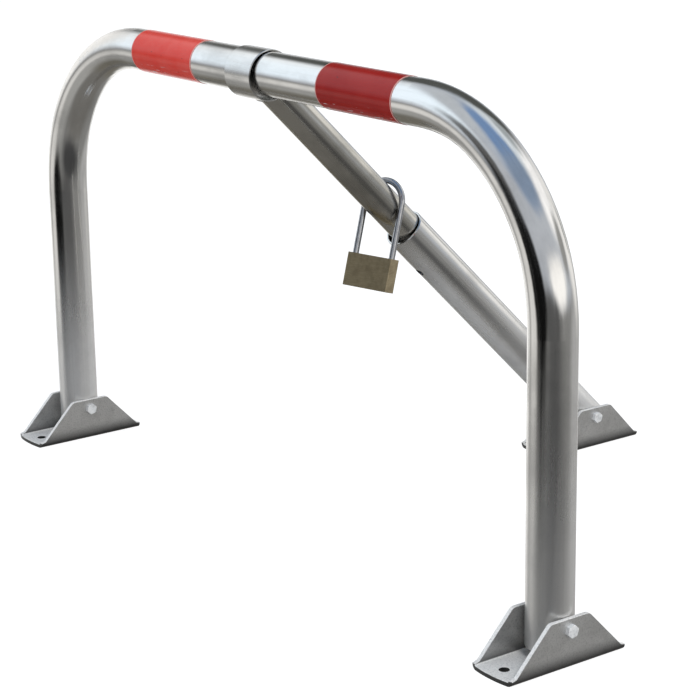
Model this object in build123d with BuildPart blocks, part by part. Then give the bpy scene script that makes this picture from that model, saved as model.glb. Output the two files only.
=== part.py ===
"""Fold-down parking barrier.

A hoop of bent steel tube turns on two folded feet. A telescopic strut runs from a loose sleeve
on the hoop's bar down to a third foot behind, and a padlock hangs round the strut's inner tube.

Sizes are in millimetres. The origin lies on the ground midway between the two front feet.
X runs along the bar, Y runs back to the rear foot and Z points up.
"""
import os
from math import sqrt

from build123d import *

# Hoop
tube_diameter = 40.0
tube_wall = 2.0
leg_spacing = 760.0
bar_height = 430.0
bend_radius = 160.0

# Reflective tape, wound once round the bar
tape_thickness = 0.3
tape_width = 105.0
tape_gap = 197.0
tape_seam = 1.5
tape_clearance = 0.05

# Feet, each a plate folded to a U
plate_thickness = 4.0
side_clearance = 0.5
fold_radius = 1.5
foot_length = 120.0
foot_height = 43.0
foot_bow = 2.5
ear_top_length = 41.0
ear_toe_setback = 4.5
ear_toe_height = 2.5
ear_toe_step = 0.6
ear_corner_radius = 6.0
anchor_spacing = 95.0
anchor_hole_diameter = 9.0
plate_edge_radius = 0.5

# Pivots
pivot_height = 33.0
swing_clearance = 0.7
bolt_diameter = 6.0
bolt_hole_clearance = 0.25
bolt_length = 60.0
hex_across_flats = 10.0
bolt_head_height = 4.0
hex_chamfer = 0.6
bolt_head_angle = 15
thread_clearance = 0.05
thread_chamfer = 0.6
nut_hex_height = 4.2
nut_collar_height = 1.8
nut_collar_diameter = 8.8
nut_insert_height = 1.5
nut_lip = 0.4
nut_insert_diameter = 7.8

# Telescopic strut
strut_x = -18.0
inner_tube_diameter = 32.0
inner_tube_wall = 2.0
inner_tube_end_gap = 21.4
outer_tube_reach = 328.0
mouth_contact_gap = 0.3
mouth_chamfer = 0.4
lock_hole_diameter = 9.0
lock_hole_depth = 47.0

# Sleeve that hangs loosely on the bar
sleeve_diameter = 46.5
sleeve_wall = 1.5
sleeve_margin_left = 1.5
sleeve_margin_right = 6.0
sleeve_contact_gap = 0.3
sleeve_hang_forward = 0.55
sleeve_end_chamfer = 0.35
weld_size = 2.5

# Padlock
padlock_width = 50.0
padlock_thickness = 14.0
padlock_height = 32.0
padlock_edge_radius = 1.0
shackle_diameter = 6.0
shackle_spacing = 41.4
shackle_inner_height = 69.7
shackle_bore_clearance = 0.15
shackle_tip_chamfer = 0.8
heel_depth = 24.0
heel_travel = 3.0
heel_collar_length = 2.0
heel_neck_diameter = 4.0
heel_pin_diameter = 2.0
heel_pin_length = 11.0
heel_pin_clearance = 0.1
shackle_lift = 8.0
toe_depth = 7.0
plug_diameter = 9.0
plug_length = 18.0
plug_clearance = 0.1
keyway_width = 1.4
keyway_height = 6.5
keyway_depth = 14.0

# Where the padlock hangs on the inner tube
padlock_mouth_gap = 35.4
padlock_hang_gap = 1.6
padlock_side_shift = 0.4
padlock_yaw_angle = 19.0
padlock_lean_angle = -17.2
padlock_tilt_angle = 1.9

# Derived sizes
tube_radius = tube_diameter / 2
leg_x = leg_spacing / 2
foot_gap = tube_diameter + 2 * side_clearance
foot_width = foot_gap + 2 * plate_thickness
bolt_hole_radius = bolt_diameter / 2 + bolt_hole_clearance
tube_tail = sqrt((pivot_height - plate_thickness - swing_clearance) ** 2 - tube_radius**2)

# The rear foot stands one hoop arm behind the front pivots, so the strut keeps to one line
# through its whole travel while both of its ends turn by half of the hoop's angle.
hoop_arm = bar_height - pivot_height
strut_top = Vector(strut_x, 0, bar_height)
strut_foot = Vector(strut_x, hoop_arm, pivot_height)
strut_length = (strut_foot - strut_top).length
strut_direction = (strut_foot - strut_top).normalized()
strut_plane = Plane(origin=strut_top, x_dir=(1, 0, 0), z_dir=strut_direction)
mouth_distance = strut_length - outer_tube_reach
inner_tube_reach = strut_length - inner_tube_end_gap
inner_tube_radius = inner_tube_diameter / 2
lock_hole_place = strut_top + strut_direction * (mouth_distance + lock_hole_depth)
lock_hole_plane = Plane(origin=lock_hole_place, x_dir=(1, 0, 0), z_dir=strut_plane.y_dir)

# The outer tube sags about its pivot until the top of its mouth rests on the inner tube.
mouth_sag = tube_radius - tube_wall - inner_tube_radius - mouth_contact_gap
mouth_place = strut_top + strut_direction * mouth_distance + strut_plane.y_dir * mouth_sag
mouth_plane = Plane(
    origin=mouth_place, x_dir=(1, 0, 0), z_dir=(strut_foot - mouth_place).normalized()
)

# The sleeve touches the bar at the top and rear, so its own axis hangs low and forward.
sleeve_radius = sleeve_diameter / 2
sleeve_offset = sleeve_radius - sleeve_wall - tube_radius - sleeve_contact_gap
sleeve_y = -sleeve_offset * sleeve_hang_forward
sleeve_z = bar_height - sleeve_offset * sqrt(1 - sleeve_hang_forward**2)
sleeve_start = strut_x - inner_tube_radius - sleeve_margin_left
sleeve_length = inner_tube_diameter + sleeve_margin_left + sleeve_margin_right
sleeve_plane = Plane(origin=(sleeve_start, sleeve_y, sleeve_z), x_dir=(0, 1, 0), z_dir=(1, 0, 0))

# The padlock hangs a little above the outer tube's mouth. Its frame: x across the case, y through it and z up the shackle
shackle_half = shackle_spacing / 2
padlock_distance = mouth_distance - padlock_mouth_gap
padlock_turn = (
    Location((0, 0, 0), (0, 0, padlock_yaw_angle))
    * Location((0, 0, 0), (padlock_lean_angle, 0, 0))
    * Location((0, 0, 0), (0, padlock_tilt_angle, 0))
)
turned = Plane(padlock_turn)
tube_share = inner_tube_radius * sqrt(1 - strut_direction.dot(turned.x_dir) ** 2)
tube_rise = tube_share / abs(strut_direction.dot(turned.z_dir.cross(turned.x_dir)))
padlock_drop = shackle_inner_height - padlock_hang_gap - tube_rise
padlock_hook = strut_top + strut_direction * padlock_distance
padlock_place = padlock_hook - turned.z_dir * padlock_drop - turned.x_dir * padlock_side_shift
padlock_plane = Plane(origin=padlock_place, x_dir=turned.x_dir, z_dir=turned.z_dir)
shackle_plane = Plane(origin=padlock_place, x_dir=turned.x_dir, z_dir=-padlock_plane.y_dir)

# The heel's neck is as long as the shackle's lift, so the pin stops the shackle at both ends.
heel_neck_start = heel_collar_length - heel_depth
heel_neck_length = shackle_lift + heel_pin_diameter + 3 * heel_pin_clearance
heel_pin_side = (heel_neck_diameter + heel_pin_diameter) / 2 + heel_pin_clearance - shackle_half
heel_pin_level = heel_neck_start + heel_neck_length - heel_pin_diameter / 2 - heel_pin_clearance
heel_pin_place = (
    padlock_place
    + padlock_plane.x_dir * heel_pin_side
    + padlock_plane.y_dir * (padlock_thickness / 2)
    + padlock_plane.z_dir * heel_pin_level
)
heel_pin_plane = Plane(
    origin=heel_pin_place, x_dir=padlock_plane.x_dir, z_dir=padlock_plane.y_dir
)


def pivot_plane(x, y):
    """The plane on the outer face of a foot's right ear, with its origin on the pivot axis."""
    return Plane(origin=(x + foot_width / 2, y, pivot_height), x_dir=(0, 1, 0), z_dir=(1, 0, 0))


def plate_border(foot):
    """The edges where a folded plate's skins meet its sheared rim."""
    rim_faces = [
        face
        for face in foot.faces()
        if round(face.normal_at().Y, 1) != 0 or face.center().Z > foot_height - plate_edge_radius
    ]
    rim_edges = [edge for face in rim_faces for edge in face.edges()]
    return ShapeList(
        edge for edge in rim_edges if sum(edge.is_same(other) for other in rim_edges) == 1
    )


def make_foot(x, y):
    """One foot: a plate folded to a U along Y, with slightly bowed ends.

    The ears slope down to low toes, which leave the base plate's corners free.
    """
    half_length = foot_length / 2
    half_base = half_length + foot_bow
    half_width = foot_width / 2
    toe_place = half_length - ear_toe_setback
    toe_top = plate_thickness + ear_toe_height
    toe_end = plate_thickness + ear_toe_step
    with BuildPart() as foot:
        with BuildSketch(Plane(origin=(x, y, 0), x_dir=(1, 0, 0), z_dir=(0, -1, 0))) as section:
            Rectangle(foot_width, foot_height, align=(Align.CENTER, Align.MIN))
            with Locations((0, plate_thickness)):
                Rectangle(foot_gap, foot_height, align=(Align.CENTER, Align.MIN), mode=Mode.SUBTRACT)
            fillet(section.vertices().group_by(Axis.Y)[1], fold_radius)
            fillet(section.vertices().group_by(Axis.Y)[0], fold_radius + plate_thickness)
        extrude(amount=half_base, both=True)
        with BuildSketch(Plane(origin=(x, y, 0), x_dir=(0, 1, 0), z_dir=(1, 0, 0))) as ears:
            with BuildLine():
                Polyline(
                    (-half_base, 0),
                    (-half_base, toe_end),
                    (-toe_place, toe_top),
                    (-ear_top_length / 2, foot_height),
                    (ear_top_length / 2, foot_height),
                    (toe_place, toe_top),
                    (half_base, toe_end),
                    (half_base, 0),
                    close=True,
                )
            make_face()
            fillet(ears.vertices().group_by(Axis.Y)[-1], ear_corner_radius)
        extrude(amount=foot_width, both=True, mode=Mode.INTERSECT)
        with BuildSketch(Plane(origin=(x, y, 0))):
            with BuildLine():
                Line((half_width, -half_length), (half_width, half_length))
                ThreePointArc((half_width, half_length), (0, half_base), (-half_width, half_length))
                Line((-half_width, half_length), (-half_width, -half_length))
                ThreePointArc((-half_width, -half_length), (0, -half_base), (half_width, -half_length))
            make_face()
        extrude(amount=foot_height, mode=Mode.INTERSECT)
        fillet(plate_border(foot), plate_edge_radius)
        with Locations(
            (x, y - anchor_spacing / 2, plate_thickness), (x, y + anchor_spacing / 2, plate_thickness)
        ):
            Hole(anchor_hole_diameter / 2)
        with Locations(pivot_plane(x, y).location):
            Hole(bolt_hole_radius)
    return foot.part


def make_hexagon(plane, height, rotation):
    """A hexagon as on a bolt head or nut, with its outer corners chamfered round."""
    corner_radius = hex_across_flats / sqrt(3)
    top_radius = (hex_across_flats - hex_chamfer) / 2
    with BuildPart() as hexagon:
        with BuildSketch(plane):
            RegularPolygon(hex_across_flats / 2, side_count=6, major_radius=False, rotation=rotation)
        extrude(amount=height)
        with BuildSketch(Plane(origin=plane.origin, x_dir=plane.x_dir, z_dir=-plane.y_dir)):
            with BuildLine():
                Polyline(
                    (0, 0),
                    (corner_radius, 0),
                    (corner_radius, height - hex_chamfer / 2),
                    (top_radius, height),
                    (0, height),
                    close=True,
                )
            make_face()
        revolve(axis=Axis(plane.origin, plane.z_dir), mode=Mode.INTERSECT)
    return hexagon.part


def make_bolt(x, y):
    """A hexagon bolt through both ears, with its head on the right."""
    seat = pivot_plane(x, y)
    head = make_hexagon(seat, bolt_head_height, bolt_head_angle)
    with BuildPart() as bolt:
        add(head)
        with BuildSketch(seat):
            Circle(bolt_diameter / 2)
        extrude(amount=-bolt_length)
        chamfer(bolt.edges().group_by(Axis.X)[0], thread_chamfer)
    return bolt.part


def make_nut(x, y):
    """A lock nut on the left ear: a hexagon with a round collar that traps the nylon ring."""
    seat = Plane(
        origin=(x - foot_width / 2, y, pivot_height), x_dir=(0, 1, 0), z_dir=(-1, 0, 0)
    )
    collar_top = nut_hex_height + nut_collar_height
    insert_start = collar_top - nut_lip - nut_insert_height
    hexagon = make_hexagon(seat, nut_hex_height, 0)
    with BuildPart() as nut:
        add(hexagon)
        with BuildSketch(seat):
            Circle(nut_collar_diameter / 2)
        extrude(amount=collar_top)
        with BuildSketch(seat):
            Circle(bolt_diameter / 2 + thread_clearance)
        extrude(amount=collar_top, mode=Mode.SUBTRACT)
        with BuildSketch(seat.offset(insert_start)):
            Circle(nut_insert_diameter / 2)
        extrude(amount=nut_insert_height, mode=Mode.SUBTRACT)
    with BuildPart() as insert:
        with BuildSketch(seat.offset(insert_start)):
            Circle(nut_insert_diameter / 2)
            Circle(bolt_diameter / 2 + thread_clearance, mode=Mode.SUBTRACT)
        extrude(amount=nut_insert_height)
    return nut.part, insert.part


def make_tape(start):
    """Reflective tape wound once round the bar, with its seam below and behind."""
    inner_radius = tube_radius + tape_clearance
    with BuildPart() as tape:
        with BuildSketch(Plane(origin=(start, 0, bar_height), x_dir=(0, 1, 0), z_dir=(1, 0, 0))):
            Circle(inner_radius + tape_thickness)
            Circle(inner_radius, mode=Mode.SUBTRACT)
            with PolarLocations(inner_radius, 1, start_angle=-45):
                Rectangle(4 * tape_thickness, tape_seam, mode=Mode.SUBTRACT)
        extrude(amount=tape_width)
    return tape.part


def save(part, name):
    """Label a finished piece and write its file."""
    part.label = name
    export_step(part, f"parts/{name}.step")


os.makedirs("parts", exist_ok=True)

# Feet, with the bolt, lock nut and nylon ring of each pivot
feet = {
    "left": (-leg_x, 0),
    "right": (leg_x, 0),
    "rear": (strut_x, hoop_arm),
}
for side, (foot_x, foot_y) in feet.items():
    save(make_foot(foot_x, foot_y), f"foot_{side}")
    save(make_bolt(foot_x, foot_y), f"pivot_bolt_{side}")
    lock_nut, nut_insert = make_nut(foot_x, foot_y)
    save(lock_nut, f"lock_nut_{side}")
    save(nut_insert, f"nut_insert_{side}")

# Hoop: one tube bent twice, with one line of bolt holes through both legs
leg_bottom = pivot_height - tube_tail
with BuildPart() as hoop_tube:
    with BuildLine() as hoop_path:
        FilletPolyline(
            (-leg_x, 0, leg_bottom),
            (-leg_x, 0, bar_height),
            (leg_x, 0, bar_height),
            (leg_x, 0, leg_bottom),
            radius=bend_radius,
        )
    with BuildSketch(Plane(origin=hoop_path.line @ 0, z_dir=hoop_path.line % 0)):
        Circle(tube_radius)
        Circle(tube_radius - tube_wall, mode=Mode.SUBTRACT)
    sweep(path=hoop_path.line)
    with Locations(pivot_plane(leg_x, 0).location):
        Hole(bolt_hole_radius)
save(hoop_tube.part, "hoop_tube")

save(make_tape(-tape_gap / 2 - tape_width), "tape_left")
save(make_tape(tape_gap / 2), "tape_right")

# Sleeve, hanging on the bar
with BuildPart() as strut_sleeve:
    with BuildSketch(sleeve_plane):
        Circle(sleeve_radius)
        Circle(sleeve_radius - sleeve_wall, mode=Mode.SUBTRACT)
    extrude(amount=sleeve_length)
    chamfer(strut_sleeve.edges().filter_by(GeomType.CIRCLE), sleeve_end_chamfer)
save(strut_sleeve.part, "strut_sleeve")

# Inner tube: its top end is coped to the sleeve
with BuildPart() as strut_upper_tube:
    with BuildSketch(strut_plane):
        Circle(inner_tube_radius)
        Circle(inner_tube_radius - inner_tube_wall, mode=Mode.SUBTRACT)
    extrude(amount=inner_tube_reach)
    with BuildSketch(sleeve_plane):
        Circle(sleeve_radius)
    extrude(amount=sleeve_length, mode=Mode.SUBTRACT)
    with Locations(lock_hole_plane.location):
        Hole(lock_hole_diameter / 2)
save(strut_upper_tube.part, "strut_upper_tube")

# Weld bead where the inner tube meets the sleeve
with BuildPart() as sleeve_weld:
    with BuildSketch(sleeve_plane):
        Circle(sleeve_radius + weld_size)
    extrude(amount=sleeve_length)
    with BuildSketch(strut_plane):
        Circle(inner_tube_radius + weld_size)
    extrude(amount=sleeve_diameter, mode=Mode.INTERSECT)
    with BuildSketch(sleeve_plane):
        Circle(sleeve_radius)
    extrude(amount=sleeve_length, mode=Mode.SUBTRACT)
    with BuildSketch(strut_plane):
        Circle(inner_tube_radius)
    extrude(amount=sleeve_diameter, mode=Mode.SUBTRACT)
save(sleeve_weld.part, "sleeve_weld")

# Outer tube: it turns on the rear foot, and the inner tube slides in its open mouth
with BuildPart() as strut_lower_tube:
    with BuildSketch(mouth_plane):
        Circle(tube_radius)
        Circle(tube_radius - tube_wall, mode=Mode.SUBTRACT)
    extrude(amount=outer_tube_reach + tube_tail)
    chamfer(strut_lower_tube.edges().group_by(Axis.Z)[-1], mouth_chamfer)
    with Locations(pivot_plane(strut_x, hoop_arm).location):
        Hole(bolt_hole_radius)
    with Locations(lock_hole_plane.location):
        Hole(lock_hole_diameter / 2)
save(strut_lower_tube.part, "strut_lower_tube")

# Padlock case: a solid block with two shackle bores and the lock plug's bore from below
with BuildPart() as padlock_case:
    with BuildSketch(padlock_plane) as outline:
        Rectangle(padlock_width, padlock_thickness)
        fillet(outline.vertices(), padlock_edge_radius)
    extrude(amount=-padlock_height)
    with BuildSketch(padlock_plane):
        with Locations((-shackle_half, 0)):
            Circle(shackle_diameter / 2 + shackle_bore_clearance)
    extrude(amount=-heel_depth - heel_travel, mode=Mode.SUBTRACT)
    with BuildSketch(padlock_plane):
        with Locations((shackle_half, 0)):
            Circle(shackle_diameter / 2 + shackle_bore_clearance)
    extrude(amount=-toe_depth - shackle_tip_chamfer, mode=Mode.SUBTRACT)
    with BuildSketch(padlock_plane.offset(-padlock_height)):
        Circle(plug_diameter / 2 + plug_clearance)
    extrude(amount=plug_length + plug_clearance, mode=Mode.SUBTRACT)
    with BuildSketch(heel_pin_plane):
        Circle(heel_pin_diameter / 2)
    extrude(amount=-heel_pin_length, mode=Mode.SUBTRACT)
save(padlock_case.part, "padlock_case")

# Pin pressed in from the case's back, which holds the shackle's heel by its neck
with BuildPart() as heel_pin:
    with BuildSketch(heel_pin_plane):
        Circle(heel_pin_diameter / 2)
    extrude(amount=-heel_pin_length)
save(heel_pin.part, "heel_pin")

# Shackle: one bent rod with a long heel leg and a short toe leg
shoulder = shackle_inner_height + shackle_diameter / 2 - shackle_half
with BuildPart() as padlock_shackle:
    with BuildLine(shackle_plane) as shackle_path:
        Line((-shackle_half, -heel_depth), (-shackle_half, shoulder))
        ThreePointArc((-shackle_half, shoulder), (0, shoulder + shackle_half), (shackle_half, shoulder))
        Line((shackle_half, shoulder), (shackle_half, -toe_depth))
    with BuildSketch(Plane(origin=shackle_path.line @ 0, z_dir=shackle_path.line % 0)):
        Circle(shackle_diameter / 2)
    sweep(path=shackle_path.line)
    tips = padlock_shackle.edges().filter_by(GeomType.CIRCLE)
    chamfer([tips.sort_by_distance(shackle_path.line @ 0)[0]], shackle_tip_chamfer)
    tips = padlock_shackle.edges().filter_by(GeomType.CIRCLE)
    chamfer([tips.sort_by_distance(shackle_path.line @ 1)[0]], shackle_tip_chamfer)
    with BuildSketch(padlock_plane.offset(heel_neck_start)):
        with Locations((-shackle_half, 0)):
            Circle(shackle_diameter / 2)
            Circle(heel_neck_diameter / 2, mode=Mode.SUBTRACT)
    extrude(amount=heel_neck_length, mode=Mode.SUBTRACT)
save(padlock_shackle.part, "padlock_shackle")

# Lock plug, flush with the case's underside, with its keyway
with BuildPart() as padlock_plug:
    with BuildSketch(padlock_plane.offset(-padlock_height)):
        Circle(plug_diameter / 2)
    extrude(amount=plug_length)
    with BuildSketch(padlock_plane.offset(-padlock_height)):
        Rectangle(keyway_width, keyway_height)
    extrude(amount=keyway_depth, mode=Mode.SUBTRACT)
save(padlock_plug.part, "padlock_plug")
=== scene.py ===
"""Looks of the fold-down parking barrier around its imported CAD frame, in metres."""

from functools import partial, reduce
from math import atan2, copysign, cos, hypot, pi, radians, sin

import bpy
from mathutils import Matrix, Vector


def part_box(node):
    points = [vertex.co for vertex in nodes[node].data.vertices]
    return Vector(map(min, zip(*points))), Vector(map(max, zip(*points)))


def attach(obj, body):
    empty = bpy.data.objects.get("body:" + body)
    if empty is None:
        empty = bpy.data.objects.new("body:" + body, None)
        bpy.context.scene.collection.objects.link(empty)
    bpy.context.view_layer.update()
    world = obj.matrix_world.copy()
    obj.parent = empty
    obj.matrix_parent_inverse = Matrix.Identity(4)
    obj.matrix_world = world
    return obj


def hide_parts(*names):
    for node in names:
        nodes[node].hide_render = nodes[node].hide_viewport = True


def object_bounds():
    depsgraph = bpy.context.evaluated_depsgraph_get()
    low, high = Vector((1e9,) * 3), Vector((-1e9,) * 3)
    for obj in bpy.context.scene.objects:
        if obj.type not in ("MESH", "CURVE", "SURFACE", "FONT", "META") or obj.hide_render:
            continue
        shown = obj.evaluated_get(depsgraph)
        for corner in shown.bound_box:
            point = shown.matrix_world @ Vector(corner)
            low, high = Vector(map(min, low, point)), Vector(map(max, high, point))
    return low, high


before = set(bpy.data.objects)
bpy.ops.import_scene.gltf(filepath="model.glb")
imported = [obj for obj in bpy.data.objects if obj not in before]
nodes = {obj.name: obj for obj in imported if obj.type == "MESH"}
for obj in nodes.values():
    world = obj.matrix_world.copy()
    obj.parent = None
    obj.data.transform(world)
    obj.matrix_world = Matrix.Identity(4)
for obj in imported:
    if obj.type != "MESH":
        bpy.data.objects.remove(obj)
cad_low, cad_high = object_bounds()
sides = ("left", "right", "rear")

# The hoop's axis: its box in the frame gives all but the radius of its bends
bar_low, bar_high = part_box("hoop_tube")
tube_radius = (bar_high.y - bar_low.y) / 2
leg_x = bar_high.x - tube_radius
bar_height = bar_high.z - tube_radius
bend_radius = 0.160
half_straight = leg_x - bend_radius
bend_start = bar_height - bend_radius

# The strut's slope, which the lines of its drawn tubes follow
strut_slope = radians(45)

# How far bending has pressed in the inner side of the tube, and how soon after a bend's start
press_right = 0.0033
press_left = 0.0012
bend_entry = radians(28)

# Where a finish or a painted shade changes. Each pair holds the place where the change begins and
# where it is full: z is a height, x goes to the right, y goes back from the bar, bend_outside is
# outwards from the tube's axis, and facing_down is the upward part of a surface's direction.
tube_dull_z = (0.24, 0.05)
left_leg_x = (0.05, -0.05)
strut_under_y = (0.12, 0.22)
strut_matt_y = (0.24, 0.41)
left_bend_x = (-0.24, -0.30)
left_bend_z = (0.28, 0.34)
bend_outside = (0.000, 0.008)
tape_scuffed_z = (bar_height - 0.006, bar_height - 0.014)
tape_scuffed_y = (-0.002, -0.010)
# Heights where the painted shade on the feet's sides begins and where it is full
plate_painted_shade_z = (0.020, 0.004)
facing_down = (-0.25, -0.58)

# How matt the zinc gets, as a share: on the legs near the ground, on the strut's lower end and
# on the strut's under-side
matt_right_leg = 0.06
matt_left_leg = 0.30
matt_strut = 0.36
matt_under = 0.45

# Width of the pale strip at a tape's cut end, and how far a plate's edge lets light in under it
tape_border = 0.0014
plate_edge = 0.005

# The camera, at the photograph's viewpoint
camera_place = Vector((1.5451, -1.04727, 0.69814))
camera_azimuth = radians(53.77)
camera_elevation = radians(15.694)
camera_roll = radians(-0.872)
camera_lens = 108.23
sensor_width = 36.0

# The floor, which glows near white for the camera but not under the feet
floor_half = 30.0
floor_glow = 0.88
glow_lost = 0.87

white = (1.0, 1.0, 1.0)


def add_camera():
    """A camera with the photograph's place, direction and field of view."""
    data = bpy.data.cameras.new("camera")
    data.lens = camera_lens
    data.sensor_width = sensor_width
    camera = bpy.data.objects.new("camera", data)
    bpy.context.scene.collection.objects.link(camera)
    turn = (
        Matrix.Rotation(camera_azimuth, 4, "Z")
        @ Matrix.Rotation(pi / 2 - camera_elevation, 4, "X")
        @ Matrix.Rotation(camera_roll, 4, "Z")
    )
    camera.matrix_world = Matrix.Translation(camera_place) @ turn
    bpy.context.scene.camera = camera


class Shader:
    """A material's or the world's node tree, with short ways to add and join its nodes."""

    def __init__(self, tree):
        self.tree = tree
        self.tree.nodes.clear()

    def add(self, kind, settings=None, **inputs):
        """Add a node. An input may be a value, or the socket of another node."""
        node = self.tree.nodes.new(kind)
        for name, value in (settings or {}).items():
            setattr(node, name, value)
        for name, value in inputs.items():
            self.put(node, name.replace("_", " "), value)
        return node

    def put(self, node, name, value):
        """Set an input of a node by its name or number."""
        socket = node.inputs[int(name) if name.isdigit() else name]
        if isinstance(value, bpy.types.NodeSocket):
            self.tree.links.new(value, socket)
        elif socket.type == "RGBA":
            socket.default_value = (*value, 1.0)[:4]
        else:
            socket.default_value = value

    def put_all(self, node, *values):
        """Set a node's inputs from the first one on."""
        for number, value in enumerate(values):
            self.put(node, str(number), value)

    def math(self, operation, first, second=0.0):
        """A Math node's result."""
        node = self.add("ShaderNodeMath", {"operation": operation})
        self.put_all(node, first, second)
        return node.outputs[0]

    def product(self, *values):
        """Numbers multiplied together."""
        return reduce(partial(self.math, "MULTIPLY"), values)

    def total(self, *values):
        """Numbers added up."""
        return reduce(partial(self.math, "ADD"), values)

    def largest(self, *values):
        """The largest of some numbers."""
        return reduce(partial(self.math, "MAXIMUM"), values)

    def minus(self, first, second):
        """The first number less the second."""
        return self.math("SUBTRACT", first, second)

    def ramp(self, value, low, high, start=0.0, end=1.0):
        """A smooth change from start to end while value goes from low to high."""
        node = self.add("ShaderNodeMapRange", {"interpolation_type": "SMOOTHSTEP"})
        self.put_all(node, value, low, high, start, end)
        return node.outputs[0]

    def mix(self, factor, first, second):
        """Two colours mixed by a factor."""
        node = self.add("ShaderNodeMix", {"data_type": "RGBA"})
        self.put(node, "0", factor)
        self.put(node, "6", first)
        self.put(node, "7", second)
        return node.outputs[2]

    def noise(self, vector, scale, detail, roughness, stretch=(1.0, 1.0, 1.0)):
        """Noise from 0 to 1, finer along the axes that stretch makes larger."""
        spread = self.add("ShaderNodeVectorMath", {"operation": "MULTIPLY"})
        self.put_all(spread, vector, stretch)
        node = self.add("ShaderNodeTexNoise", Scale=scale, Detail=detail, Roughness=roughness)
        self.put(node, "Vector", spread.outputs[0])
        return node.outputs["Fac"]

    def bump(self, height, distance, normal=None):
        """A bump of that height in metres, on top of another one where a normal is given."""
        node = self.add("ShaderNodeBump", Strength=1.0, Distance=distance, Height=height)
        if normal is not None:
            self.put(node, "Normal", normal)
        return node.outputs[0]

    def place(self):
        """The point's place in the row frame, which moves with its body."""
        return self.add("ShaderNodeTexCoord").outputs["Object"]

    def facing_up(self):
        """How far the surface faces up, from -1 to 1."""
        return self.split(self.add("ShaderNodeTexCoord").outputs["Normal"])[2]

    def split(self, vector):
        """The three parts of a vector."""
        return self.add("ShaderNodeSeparateXYZ", Vector=vector).outputs

    def join(self, x, y, z):
        """A vector from its three parts."""
        return self.add("ShaderNodeCombineXYZ", X=x, Y=y, Z=z).outputs[0]

    def surface(self, **inputs):
        """End the tree in one Principled shader."""
        shader = self.add("ShaderNodeBsdfPrincipled", None, **inputs)
        output = self.add("ShaderNodeOutputMaterial")
        self.put(output, "Surface", shader.outputs[0])

    def camera_choice(self, others, camera):
        """One look for the camera's own rays, and another one for light and reflections."""
        rays = self.add("ShaderNodeLightPath")
        choice = self.add("ShaderNodeMixShader")
        self.put_all(choice, rays.outputs["Is Camera Ray"], others.outputs[0], camera.outputs[0])
        return choice.outputs[0]


def new_material(name):
    """An empty material and its shader tree."""
    material = bpy.data.materials.new(name)
    material.use_nodes = True
    return material, Shader(material.node_tree)


def shade(colour, share):
    """A colour made darker, to that share of its light."""
    return tuple(part * share for part in colour)


def along_hoop(shader):
    """Coordinates that follow the bent tube: along it, outwards from its axis and through it."""
    x, y, z = shader.split(shader.place())
    side = shader.math("ABSOLUTE", x)
    over = shader.largest(shader.minus(side, half_straight), 0.0)
    up = shader.largest(shader.minus(z, bend_start), 0.0)
    squares = shader.total(shader.math("POWER", over, 2.0), shader.math("POWER", up, 2.0))
    outwards = shader.minus(shader.math("SQRT", squares), bend_radius)
    straight = shader.math("MINIMUM", side, half_straight)
    turned = shader.product(shader.math("ARCTAN2", over, up), bend_radius)
    fallen = shader.minus(bend_start, shader.math("MINIMUM", z, bend_start))
    length = shader.total(straight, turned, fallen)
    return shader.join(shader.product(length, shader.math("SIGN", x)), outwards, y)


def along_strut(shader):
    """Coordinates with the first one along the strut."""
    turn = shader.add("ShaderNodeVectorRotate", {"rotation_type": "X_AXIS"}, Angle=strut_slope)
    shader.put(turn, "Vector", shader.place())
    x, y, z = shader.split(turn.outputs[0])
    return shader.join(y, x, z)


def rubbed_white(shader, place, outwards):
    """White flecks rubbed into the outer side of the left bend."""
    x, y, z = shader.split(place)
    flecks = shader.ramp(shader.noise(place, 190.0, 4.0, 0.75), 0.53, 0.64, 0.0, 0.45)
    left_bend = shader.product(shader.ramp(x, *left_bend_x), shader.ramp(z, *left_bend_z))
    return shader.product(flecks, left_bend, shader.ramp(outwards, *bend_outside))


def matt_zinc(shader, place, near_ground):
    """How matt a tube's zinc is: near the ground, at the strut's lower end and on its under-side."""
    x, y, z = shader.split(place)
    legs = shader.product(near_ground, shader.ramp(x, *left_leg_x, matt_right_leg, matt_left_leg))
    strut_end = shader.ramp(y, *strut_matt_y, 0.0, matt_strut)
    under = shader.ramp(shader.facing_up(), *facing_down, 0.0, matt_under)
    return shader.largest(legs, strut_end, shader.product(under, shader.ramp(y, *strut_under_y)))


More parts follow.
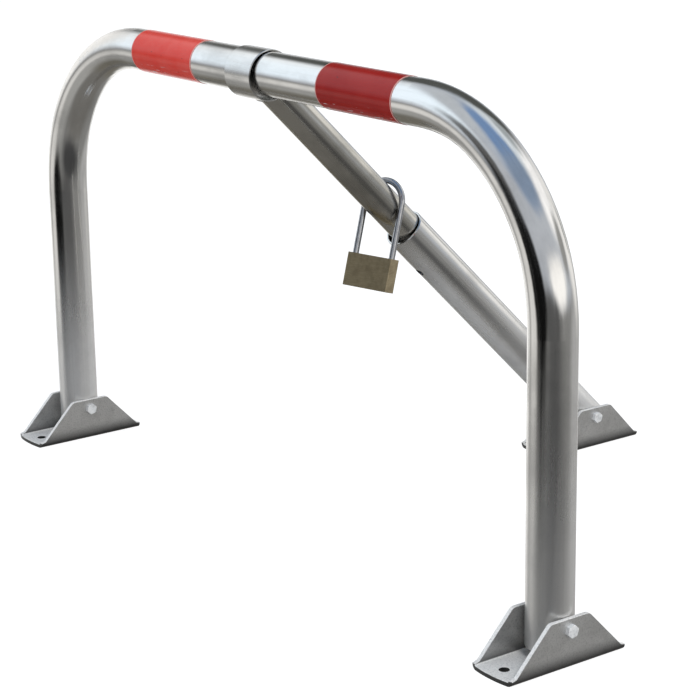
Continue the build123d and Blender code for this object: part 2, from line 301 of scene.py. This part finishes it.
def zinc_tube(name, coordinates, colour, roughness, streak_depth, tarnish):
    """Bright zinc on drawn tube: fine lines along it, clouds and specks, duller near the feet."""
    material, shader = new_material(name)
    vector = coordinates(shader)
    outwards = shader.split(vector)[1]
    place = shader.place()
    near_ground = shader.ramp(shader.split(place)[2], *tube_dull_z)
    rubbed = rubbed_white(shader, place, outwards)
    lines = shader.noise(vector, 1.0, 4.0, 0.6, (9.0, 420.0, 420.0))
    bands = shader.noise(vector, 1.0, 2.0, 0.5, (3.0, 90.0, 90.0))
    clouds = shader.noise(vector, 14.0, 5.0, 0.62, (0.7, 1.0, 1.0))
    specks = shader.noise(place, 900.0, 2.0, 0.7)
    dull = shader.ramp(clouds, 0.42, 0.72)

    darker = shade(colour, 1 - tarnish)
    base = shader.mix(dull, colour, darker)
    base = shader.mix(shader.ramp(lines, 0.50, 0.80, 0.0, 0.30), base, darker)
    base = shader.mix(shader.ramp(specks, 0.60, 0.78, 0.0, 0.25), base, shade(darker, 0.6))
    base = shader.mix(rubbed, base, (0.95, 0.94, 0.92))

    rough = shader.total(
        roughness,
        shader.product(dull, 0.10),
        shader.ramp(lines, 0.35, 0.75, 0.0, 0.10),
        shader.product(rubbed, 0.4),
        shader.product(near_ground, 0.22),
    )
    matt = shader.largest(matt_zinc(shader, place, near_ground), rubbed)
    normal = shader.bump(lines, streak_depth * 0.25)
    normal = shader.bump(bands, streak_depth, normal)
    metal = shader.minus(1.0, matt)
    shader.surface(Base_Color=base, Metallic=metal, Roughness=rough, Normal=normal)
    return material


def pressed_zinc(name):
    """Dull zinc on sheared and folded plate: grainy and stained, painted lighter on faces that look
    up, and painted darker, as shade, down at the ground.
    """
    material, shader = new_material(name)
    place = shader.place()
    facing_up = shader.facing_up()
    height = shader.split(place)[2]
    grain = shader.noise(place, 650.0, 3.0, 0.7)
    clouds = shader.noise(place, 38.0, 5.0, 0.65)
    stains = shader.noise(place, 95.0, 4.0, 0.6)
    scuffs = shader.noise(place, 1.0, 3.0, 0.6, (300.0, 60.0, 700.0))

    base = shader.mix(shader.ramp(clouds, 0.35, 0.7), (0.74, 0.73, 0.71), (0.60, 0.59, 0.57))
    # Painted light: faces that look up, the base plates and the slanted cut edges, are made lighter
    # for the light that falls on them from above.
    base = shader.mix(shader.ramp(facing_up, 0.2, 0.6), base, (0.90, 0.88, 0.84))
    base = shader.mix(shader.ramp(stains, 0.60, 0.8, 0.0, 0.5), base, (0.40, 0.40, 0.39))
    base = shader.mix(shader.ramp(grain, 0.45, 0.75, 0.0, 0.55), base, (0.36, 0.36, 0.35))
    base = shader.mix(shader.ramp(scuffs, 0.60, 0.78, 0.0, 0.30), base, (0.86, 0.86, 0.85))
    uneven_height = shader.total(height, shader.product(clouds, 0.006))
    # Painted shade: the feet's sides are made darker towards the ground, standing in for the dark
    # ground close by that they mirror and for their own shadow. Faces that look up are left out.
    low = shader.ramp(uneven_height, *plate_painted_shade_z, 0.0, 0.92)
    low = shader.product(low, shader.ramp(facing_up, 0.5, 0.1))
    base = shader.mix(low, base, (0.04, 0.04, 0.04))

    metal = shader.ramp(facing_up, 0.2, 0.7, 0.92, 0.22)
    rough = shader.total(0.30, shader.product(grain, 0.26))
    normal = shader.bump(grain, 0.00010)
    normal = shader.bump(clouds, 0.0002, normal)
    shader.surface(Base_Color=base, Metallic=metal, Roughness=rough, Normal=normal)
    return material


def plain_zinc(name, colour, roughness, metal):
    """Bright zinc on small turned and forged parts."""
    material, shader = new_material(name)
    place = shader.place()
    grain = shader.noise(place, 1500.0, 3.0, 0.7)
    clouds = shader.noise(place, 180.0, 3.0, 0.6)
    base = shader.mix(shader.ramp(clouds, 0.4, 0.7), colour, shade(colour, 0.7))
    rough = shader.total(roughness, shader.product(grain, 0.15))
    normal = shader.bump(grain, 0.00003)
    shader.surface(Base_Color=base, Metallic=metal, Roughness=rough, Normal=normal)
    return material


def weld_metal(name):
    """Weld bead, zinc plated after welding: ripples, spatter and a bright skin."""
    material, shader = new_material(name)
    place = shader.place()
    ripples = shader.noise(place, 420.0, 3.0, 0.6)
    stains = shader.noise(place, 120.0, 3.0, 0.6)
    base = shader.mix(shader.ramp(stains, 0.45, 0.65), (0.82, 0.80, 0.77), (0.34, 0.30, 0.24))
    normal = shader.bump(ripples, 0.0006)
    shader.surface(Base_Color=base, Metallic=1.0, Roughness=0.30, Normal=normal)
    return material


def reflective_tape(node_name, name, colour, faded):
    """Glossy coloured tape with pale cut ends, small dark nicks and white scratches low in front."""
    material, shader = new_material(name)
    place = shader.place()
    x, y, z = shader.split(place)
    fading = shader.noise(place, 30.0, 3.0, 0.55)
    pores = shader.noise(place, 260.0, 3.0, 0.6)
    nicks = shader.noise(place, 420.0, 2.0, 0.5, (0.35, 1.0, 1.0))
    scratches = shader.noise(place, 1.0, 2.0, 0.6, (60.0, 500.0, 500.0))
    base = shader.mix(shader.ramp(fading, 0.35, 0.7), colour, faded)
    base = shader.mix(shader.ramp(nicks, 0.735, 0.76, 0.0, 0.8), base, (0.03, 0.015, 0.015))

    scuffed = shader.product(
        shader.ramp(scratches, 0.64, 0.68),
        shader.ramp(z, *tape_scuffed_z),
        shader.ramp(y, *tape_scuffed_y, 0.0, 0.8),
    )
    base = shader.mix(scuffed, base, (0.80, 0.74, 0.72))

    first_end, last_end = (corner.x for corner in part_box(node_name))
    from_middle = shader.math("ABSOLUTE", shader.minus(x, (first_end + last_end) / 2))
    half_length = (last_end - first_end) / 2
    cut = shader.ramp(
        from_middle, half_length - tape_border, half_length - tape_border / 2, 0.0, 0.7
    )
    base = shader.mix(cut, base, (0.86, 0.52, 0.46))

    rough = shader.total(0.08, shader.product(pores, 0.12))
    normal = shader.bump(pores, 0.00003)
    shader.surface(Base_Color=base, Roughness=rough, Normal=normal, Specular_IOR_Level=0.20)
    return material


def brushed_brass(name):
    """Dull tan brass with fine brushed lines across the case and dark stains."""
    material, shader = new_material(name)
    place = shader.place()
    lines = shader.noise(place, 1.0, 3.0, 0.6, (120.0, 120.0, 2600.0))
    stains = shader.noise(place, 110.0, 4.0, 0.65)
    base = shader.mix(shader.ramp(stains, 0.4, 0.7), (0.48, 0.395, 0.245), (0.355, 0.285, 0.175))
    base = shader.mix(shader.ramp(lines, 0.35, 0.7, 0.0, 0.35), base, (0.22, 0.17, 0.10))
    rough = shader.total(0.30, shader.product(lines, 0.20))
    normal = shader.bump(lines, 0.00006)
    shader.surface(Base_Color=base, Metallic=0.85, Roughness=rough, Normal=normal)
    return material


def polished_steel(name):
    """Grey steel rod with faint polishing lines."""
    material, shader = new_material(name)
    lines = shader.noise(shader.place(), 500.0, 3.0, 0.6, (1.0, 1.0, 0.2))
    base = shader.mix(shader.ramp(lines, 0.4, 0.7), (0.47, 0.475, 0.49), (0.34, 0.345, 0.36))
    rough = shader.total(0.10, shader.product(lines, 0.12))
    normal = shader.bump(lines, 0.00003)
    shader.surface(Base_Color=base, Metallic=1.0, Roughness=rough, Normal=normal)
    return material


def moulded_nylon(name):
    """The lock nut's ring."""
    material, shader = new_material(name)
    grain = shader.noise(shader.place(), 900.0, 2.0, 0.5)
    base = shader.mix(grain, (0.10, 0.16, 0.34), (0.14, 0.20, 0.40))
    shader.surface(Base_Color=base, Roughness=0.45, Normal=shader.bump(grain, 0.00003))
    return material


def dress(material, *names):
    """Give CAD nodes a material."""
    for name in names:
        data = nodes[name].data
        data.materials.clear()
        data.materials.append(material)


# Each tube's finish: its name, coordinates, colour, roughness, depth of streaks and tarnish
silver = (0.80, 0.79, 0.77)
tarnished = (0.66, 0.64, 0.59)
tube_finishes = {
    "hoop_tube": ("zinc_hoop", along_hoop, silver, 0.10, 0.00005, 0.22),
    "strut_sleeve": ("zinc_sleeve", along_hoop, silver, 0.13, 0.00005, 0.20),
    "strut_upper_tube": ("zinc_inner", along_strut, tarnished, 0.14, 0.00006, 0.35),
    "strut_lower_tube": ("zinc_outer", along_strut, silver, 0.13, 0.00005, 0.22),
}

# Each tape's finish: its name, colour and faded colour
tape_finishes = {
    "tape_left": ("tape_red_light", (0.86, 0.052, 0.034), (0.89, 0.090, 0.066)),
    "tape_right": ("tape_red_deep", (0.35, 0.008, 0.006), (0.39, 0.014, 0.011)),
}


def add_materials():
    """Every CAD node's finish."""
    for node_name, finish in tube_finishes.items():
        dress(zinc_tube(*finish), node_name)
    for node_name, finish in tape_finishes.items():
        dress(reflective_tape(node_name, *finish), node_name)
    # Painted light: the bolts get a lighter zinc than the nuts, standing in for the sunlit shine of
    # their heads.
    bolt_zinc_painted_light = plain_zinc("bolt_zinc_painted_light", (0.93, 0.93, 0.91), 0.30, 0.35)
    nut_zinc = plain_zinc("nut_zinc", (0.80, 0.80, 0.79), 0.24, 0.80)
    dress(weld_metal("weld_metal"), "sleeve_weld")
    dress(pressed_zinc("pressed_zinc"), *(f"foot_{side}" for side in sides))
    dress(bolt_zinc_painted_light, *(f"pivot_bolt_{side}" for side in sides))
    dress(nut_zinc, *(f"lock_nut_{side}" for side in sides))
    dress(moulded_nylon("nylon_ring"), *(f"nut_insert_{side}" for side in sides))
    dress(brushed_brass("brushed_brass"), "padlock_case", "padlock_plug")
    dress(polished_steel("shackle_steel"), "padlock_shackle", "heel_pin")


def add_pressed_hoop():
    """The hoop's tube, slightly oval in both bends, where bending has pressed its inner side in."""
    mesh = nodes["hoop_tube"].data.copy()
    for vertex in mesh.vertices:
        over = abs(vertex.co.x) - half_straight
        up = vertex.co.z - bend_start
        if over <= 0 or up <= 0:
            continue
        reach = hypot(over, up)
        depth = (1 + (bend_radius - reach) / tube_radius) / 2
        turn = atan2(over, up)
        share = min(1.0, min(turn, pi / 2 - turn) / bend_entry)
        press = press_right if vertex.co.x > 0 else press_left
        moved = press * depth * share**2 * (3 - 2 * share) / reach
        vertex.co.x += copysign(over * moved, vertex.co.x)
        vertex.co.z += up * moved
    mesh.update()
    hoop = bpy.data.objects.new("hoop_pressed", mesh)
    bpy.context.scene.collection.objects.link(hoop)
    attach(hoop, "hoop")
    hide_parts("hoop_tube")


# Surroundings that the metal mirrors: plain sky and ground, with soft patches painted over them
deep_sky = (0.19, 0.31, 0.54)
pale_sky = (0.55, 0.58, 0.63)
flat_ground = (0.25, 0.25, 0.245)
steep_ground = (0.185, 0.180, 0.170)
white_glow = (1.10, 1.09, 1.07)
near_black = (0.006, 0.006, 0.006)

# Where one of them gives way to the next, as the upward part of a direction of length 1
sky_deepens = (0.64, 0.97)
sky_to_ground = (0.07, -0.10)
ground_darkens = (-0.64, -0.87)
most_upward = 0.999
raggedness = 0.12

# Each patch: azimuth and height of its middle, half width and half height in degrees, the share
# of its half sizes that its soft edge takes to each side, and its colour
patches = {
    "clear sky to the right": (0, 62, 75, 16, 0.4, (0.26, 0.34, 0.47)),
    "thin cloud to the left": (-150, 58, 72, 14, 0.45, (0.58, 0.62, 0.67)),
    "cloud behind": (98, 54, 44, 20, 0.4, (0.80, 0.87, 0.93)),
    "bright sky to the right": (68, 36, 32, 15, 0.4, (1.25, 1.24, 1.24)),
    "haze to the left": (-154, 24, 46, 19, 0.35, (1.05, 1.18, 1.30)),
    "glow at the far left": (174, 10, 28, 24, 0.35, white_glow),
    "ground to the right": (84, -14, 38, 14, 0.4, (0.46, 0.46, 0.46)),
    "lit ground behind": (156, -17, 34, 14, 0.4, white_glow),
    "trees behind": (136, 32, 32, 21, 0.30, (0.09, 0.095, 0.09)),
    "branches": (100, 48, 14, 10, 0.5, (0.42, 0.46, 0.48)),
    "gap behind the trees": (92, 8, 22, 18, 0.4, (1.00, 0.99, 0.97)),
    "post": (99, 5, 5, 6, 0.5, (0.32, 0.33, 0.33)),
    "houses to the right": (60, 17, 14, 11, 0.4, (0.34, 0.34, 0.33)),
    "low light to the right": (4, 11, 35, 12, 0.35, (1.20, 1.18, 1.15)),
    "lit ground to the left": (-128, -14, 30, 9, 0.4, (0.80, 0.79, 0.77)),
    "ground to the left": (-130, -34, 42, 14, 0.4, (0.40, 0.40, 0.39)),
    "shade on the ground": (-20, -32, 48, 16, 0.4, (0.060, 0.060, 0.062)),
    "shade at its far edge": (-40, -7, 36, 12, 0.4, (0.10, 0.10, 0.10)),
    "shade behind": (142, -6, 9, 7, 0.5, (0.20, 0.20, 0.20)),
    "eaves to the left": (-112, 18, 20, 13, 0.35, (0.12, 0.12, 0.12)),
    "dark doorway": (-94, -2, 31, 20, 0.2, near_black),
    "brown ground": (178, -42, 36, 14, 0.4, (0.17, 0.16, 0.135)),
}


def patch_share(shader, direction, azimuth, height, half_width, half_height, softness):
    """How much of a soft-edged patch of the surroundings lies in a direction."""
    x, y, z = direction
    east, north = cos(radians(azimuth)), sin(radians(azimuth))
    ahead = shader.total(shader.product(x, east), shader.product(y, north))
    aside = shader.minus(shader.product(y, east), shader.product(x, north))
    across = shader.math("DIVIDE", shader.math("ARCTAN2", aside, ahead), radians(half_width))
    above = shader.minus(shader.math("ARCSINE", z), radians(height))
    above = shader.math("DIVIDE", above, radians(half_height))
    away = shader.add("ShaderNodeVectorMath", {"operation": "LENGTH"})
    shader.put(away, "0", shader.join(across, above, 0.0))
    return shader.ramp(away.outputs["Value"], 1 + softness, 1 - softness)


def surroundings(shader):
    """The colour of the surroundings in each direction, with ragged edges between their parts."""
    direction = shader.add("ShaderNodeTexCoord").outputs["Generated"]
    x, y, z = shader.split(direction)
    ragged = shader.minus(shader.noise(direction, 7.0, 6.0, 0.70), 0.5)
    z = shader.total(z, shader.product(ragged, raggedness))
    z = shader.largest(shader.math("MINIMUM", z, most_upward), -most_upward)
    sky = shader.mix(shader.ramp(z, *sky_deepens), pale_sky, deep_sky)
    ground = shader.mix(shader.ramp(z, *ground_darkens), flat_ground, steep_ground)
    view = shader.mix(shader.ramp(z, *sky_to_ground), sky, ground)
    for *shape, colour in patches.values():
        view = shader.mix(patch_share(shader, (x, y, z), *shape), view, colour)
    return view


def add_world():
    """Outdoor surroundings for light and reflections, and white where the camera sees it."""
    world = bpy.data.worlds.new("world")
    bpy.context.scene.world = world
    world.use_nodes = True
    shader = Shader(world.node_tree)
    around = shader.add("ShaderNodeBackground", Color=surroundings(shader), Strength=1.0)
    backdrop = shader.add("ShaderNodeBackground", Color=white, Strength=1.0)
    output = shader.add("ShaderNodeOutputWorld")
    shader.put(output, "Surface", shader.camera_choice(around, backdrop))


def under_feet(shader):
    """One where the floor lies under a foot's plate, where no light gets to it."""
    x, y, z = shader.split(shader.place())
    covered = []
    for side in sides:
        foot_low, foot_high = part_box(f"foot_{side}")
        middle = (foot_low + foot_high) / 2
        half_width = (foot_high.x - foot_low.x) / 2 - plate_edge
        half_length = (foot_high.y - foot_low.y) / 2 - plate_edge
        aside = shader.math("ABSOLUTE", shader.minus(x, middle.x))
        along = shader.math("ABSOLUTE", shader.minus(y, middle.y))
        in_width = shader.math("LESS_THAN", aside, half_width)
        in_length = shader.math("LESS_THAN", along, half_length)
        covered.append(shader.product(in_width, in_length))
    return shader.largest(*covered)


def add_floor():
    """A pale floor that renders white and keeps a light shadow."""
    mesh = bpy.data.meshes.new("floor")
    corners = [(-1, -1), (1, -1), (1, 1), (-1, 1)]
    mesh.from_pydata([(floor_half * x, floor_half * y, 0.0) for x, y in corners], [], [(0, 1, 2, 3)])
    floor = bpy.data.objects.new("floor", mesh)
    bpy.context.scene.collection.objects.link(floor)
    material, shader = new_material("floor")
    plain = shader.add("ShaderNodeBsdfDiffuse", Color=(0.75, 0.75, 0.75))
    shaded = shader.add("ShaderNodeBsdfDiffuse", Color=(0.30, 0.30, 0.30))
    strength = shader.minus(floor_glow, shader.product(under_feet(shader), glow_lost))
    glow = shader.add("ShaderNodeEmission", Color=white, Strength=strength)
    pale = shader.add("ShaderNodeAddShader")
    shader.put_all(pale, shaded.outputs[0], glow.outputs[0])
    output = shader.add("ShaderNodeOutputMaterial")
    shader.put(output, "Surface", shader.camera_choice(plain, pale))
    mesh.materials.append(material)
    floor.visible_glossy = False


def add_lamp(name, place, size, power):
    """A large soft lamp aimed at the middle of the barrier."""
    data = bpy.data.lights.new(name, "AREA")
    data.shape = "DISK"
    data.size = size
    data.energy = power
    lamp = bpy.data.objects.new(name, data)
    aim = (Vector(cad_low) + Vector(cad_high)) / 2 - Vector(place)
    turn = aim.to_track_quat("-Z", "Y").to_matrix().to_4x4()
    lamp.matrix_world = Matrix.Translation(place) @ turn
    lamp.visible_glossy = False
    bpy.context.scene.collection.objects.link(lamp)


add_camera()
add_materials()
add_pressed_hoop()
add_world()
add_floor()
add_lamp("key_lamp", place=(2.5, -0.6, 2.7), size=1.4, power=60.0)

bpy.context.scene.view_settings.view_transform = "Standard"
